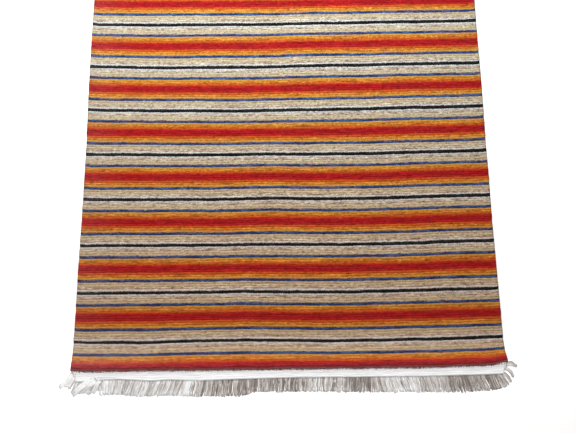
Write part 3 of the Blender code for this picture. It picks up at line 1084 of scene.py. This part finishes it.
def fringeFinish():
    warp = Finish("loose cotton warp", roughness=0.95)
    tone = warp.node("ShaderNodeAttribute", {"attribute_name": "tone"}, {}, output="Fac")
    run = warp.node("ShaderNodeAttribute", {"attribute_name": "run"}, {}, output="Fac")
    place = warp.node("ShaderNodeTexCoord", {}, {}, output="Object")
    parts = warp.node("ShaderNodeSeparateXYZ", {}, {"Vector": place})
    x, y = parts, parts.other("Y")

    def waves(name, detail=2.0):
        acrossScale, alongScale = warpLook[name]
        return warp.blur(x * acrossScale, y * alongScale, detail)

    def fade(name):
        return warp.span(run, *warpLook[name])

    fibres = waves("fibres", 3.0)
    stray = (fibres - 0.5) * warpLook["twistStray"]
    ply = abs(((x + y) * warpLook["twists"] + stray) % 1 - 0.5) * 2
    grey = tone + warpLook["addedSoil"] + (waves("stain") - 0.5) * warpLook["stainAmount"]
    colour = warp.ramp(grey - fade("palerTip"), warpLook["tones"])
    light = 1.0 + (fibres - 0.5) * warpLook["fibreShade"] - ply * warpLook["twistShade"]
    light = light - fade("rootShade") - fade("tipShade")
    fibreRelief, twistRelief = warpLook["relief"]
    height = fibres * fibreRelief + (1 - ply) * twistRelief
    warp.drive(warp.tint(colour, light), height, warpLook["bumpDepth"])
    return warp.material


wool = woolFinish()
pilePiece = makePile(wool)
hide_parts("pile_field")
for end in ("near", "far"):
    makeEndTufts(end, wool)
print("pile made,", len(pilePiece.data.polygons), "faces")

whiteCotton, looseCotton = bandFinish(), fringeFinish()
endPieces = []
for end in ("near", "far"):
    bandPiece = makeBand(end, whiteCotton)
    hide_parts(f"kilim_band_{end}")
    fringePiece = makeFringe(end, looseCotton)
    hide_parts(f"fringe_{end}")
    endPieces += [bandPiece, fringePiece]
    print(end, "end made,", len(fringePiece.data.polygons), "fringe faces")


# The studio: floor, lights and the camera above the near end.
studio = {
    "floorSize": 40.0,
    "floorColour": (0.92, 0.92, 0.92),
    "floorGlow": 0.4,
    "floorDrop": 0.0002,
    "world": 0.26,
    "cameraPlace": (-0.0031, -0.7764, 1.4943),
    "cameraElevation": 76.18,
    "cameraHeading": -0.966,
    "cameraRoll": 0.252,
    "focalPixels": 700.0,
    "imageWidth": 577.0,
    "sensor": 36.0,
    "key": {
        "place": (-0.40, 0.25, 2.1),
        "target": (0, -0.35, 0),
        "size": 0.9,
        "power": 24,
        "colour": (1.10, 1.0, 0.94),
    },
    "strips": [  # straight above what they light: place, length, width, spread, power, colour
        ((-0.09, 0.2, 0.65), 1.3, 0.2, 180, 8.35, (0.89, 1.0, 1.0)),
        ((0, -0.752, 0.35), 1.1, 0.105, 24, 0.16, (1, 1, 1)),
    ],
}


def makeFloor():
    shape = bmesh.new()
    bmesh.ops.create_grid(shape, x_segments=1, y_segments=1, size=studio["floorSize"] / 2)
    mesh = bpy.data.meshes.new("studio_floor")
    shape.to_mesh(mesh)
    shape.free()
    paint = Finish("pale floor", roughness=0.8)
    paint.shader.inputs["Base Color"].default_value = (*studio["floorColour"], 1)
    paint.shader.inputs["Emission Color"].default_value = (1, 1, 1, 1)
    paint.shader.inputs["Emission Strength"].default_value = studio["floorGlow"]
    mesh.materials.append(paint.material)
    floor = bpy.data.objects.new("studio_floor", mesh)
    floor.location.z = -studio["floorDrop"]
    bpy.context.scene.collection.objects.link(floor)


def makeLight(name, shape, place, power, colour):
    holder = bpy.data.objects.new(name, bpy.data.lights.new(name, "AREA"))
    holder.data.shape = shape
    holder.data.energy = power
    holder.data.color = colour
    holder.location = place
    holder.visible_camera = False
    bpy.context.scene.collection.objects.link(holder)
    return holder


def makeLights():
    key = studio["key"]
    holder = makeLight("key", "DISK", key["place"], key["power"], key["colour"])
    holder.data.size = key["size"]
    aim = Vector(key["target"]) - Vector(key["place"])
    holder.rotation_euler = aim.to_track_quat("-Z", "Y").to_euler()
    for place, length, width, spread, power, colour in studio["strips"]:
        holder = makeLight("strip", "RECTANGLE", place, power, colour)
        holder.data.size, holder.data.size_y = length, width
        holder.data.spread = math.radians(spread)


def makeWorld():
    world = bpy.data.worlds.new("studio")
    world.use_nodes = True
    background = world.node_tree.nodes["Background"]
    background.inputs["Color"].default_value = (1, 1, 1, 1)
    background.inputs["Strength"].default_value = studio["world"]
    bpy.context.scene.world = world


def makeCamera():
    camera = bpy.data.cameras.new("camera")
    camera.sensor_width = studio["sensor"]
    camera.lens = studio["focalPixels"] / studio["imageWidth"] * studio["sensor"]
    holder = bpy.data.objects.new("camera", camera)
    heading = Matrix.Rotation(math.radians(studio["cameraHeading"]), 4, "Z")
    lift = Matrix.Rotation(math.radians(90 - studio["cameraElevation"]), 4, "X")
    roll = Matrix.Rotation(math.radians(studio["cameraRoll"]), 4, "Z")
    holder.matrix_world = Matrix.Translation(studio["cameraPlace"]) @ heading @ lift @ roll
    bpy.context.scene.collection.objects.link(holder)
    bpy.context.scene.camera = holder


makeFloor()
makeLights()
makeCamera()
makeWorld()
bpy.context.scene.view_settings.view_transform = "Standard"
print("studio made")
